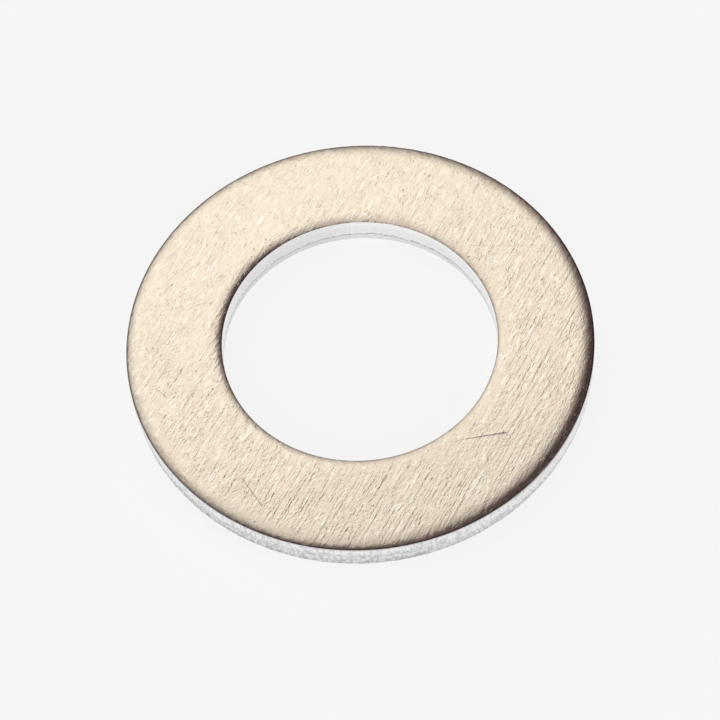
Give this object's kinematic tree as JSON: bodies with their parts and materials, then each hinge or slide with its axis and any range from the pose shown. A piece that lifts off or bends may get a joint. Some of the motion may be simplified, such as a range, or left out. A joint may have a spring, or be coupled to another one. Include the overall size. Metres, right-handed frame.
{
  "type": "gasket",
  "caption": "Flat round metal sealing gasket, blanked from soft sheet, with a plain central bore and rolled upper edges.",
  "frame": {"origin": "centre of the bore at the lower face, the one the gasket lies on", "axes": "+Z along the bore axis, out of the upper face with the rolled edges; X and Y in the plane of the sheet"},
  "size_m": [0.0138, 0.0138, 0.001],
  "materials": {
    "rolled_aluminium": "satin rolled sheet with a straight grain and fine scratches, warm pale tone; edges bright where sheared and matt grey where torn"
  },
  "bodies": {
    "root": {"gasket": "rolled_aluminium"}
  },
  "joints": []
}
